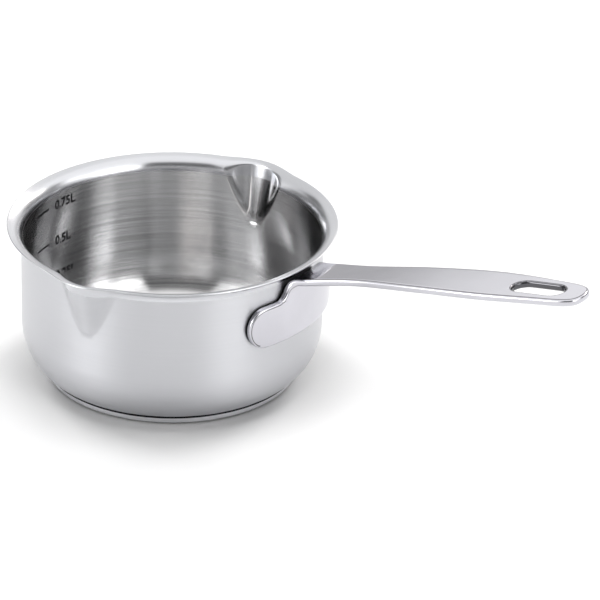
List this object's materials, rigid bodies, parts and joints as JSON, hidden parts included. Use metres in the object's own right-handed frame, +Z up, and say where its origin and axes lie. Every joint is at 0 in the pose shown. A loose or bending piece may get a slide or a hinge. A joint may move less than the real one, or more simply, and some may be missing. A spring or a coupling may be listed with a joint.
{
  "type": "pouring saucepan",
  "caption": "Small open steel saucepan with a flared lip, opposite pressed pouring spouts, a sandwich base and a flat folded handle with a hanging slot.",
  "frame": {"origin": "centre of the base cap's flat underside, on the surface that the pan stands on", "axes": "+Z up along the pan's axis; +X along the handle, away from the pan; the two spouts lie on +Y and -Y"},
  "size_m": [0.2826, 0.1536, 0.0944],
  "materials": {
    "pan_steel": "satin polished outside, brushed in rings inside",
    "cap_steel": "polished sheet steel",
    "core_aluminium": "plain pressed aluminium",
    "handle_steel": "polished with rounded edges",
    "weld_steel": "dull welded steel"
  },
  "bodies": {
    "root": {"pan_body": "pan_steel", "base_cap": "cap_steel", "core_disc": "core_aluminium", "handle": "handle_steel", "weld_nugget_1": "weld_steel", "weld_nugget_2": "weld_steel", "weld_nugget_3": "weld_steel", "weld_nugget_4": "weld_steel", "weld_nugget_5": "weld_steel", "weld_nugget_6": "weld_steel"}
  },
  "joints": []
}
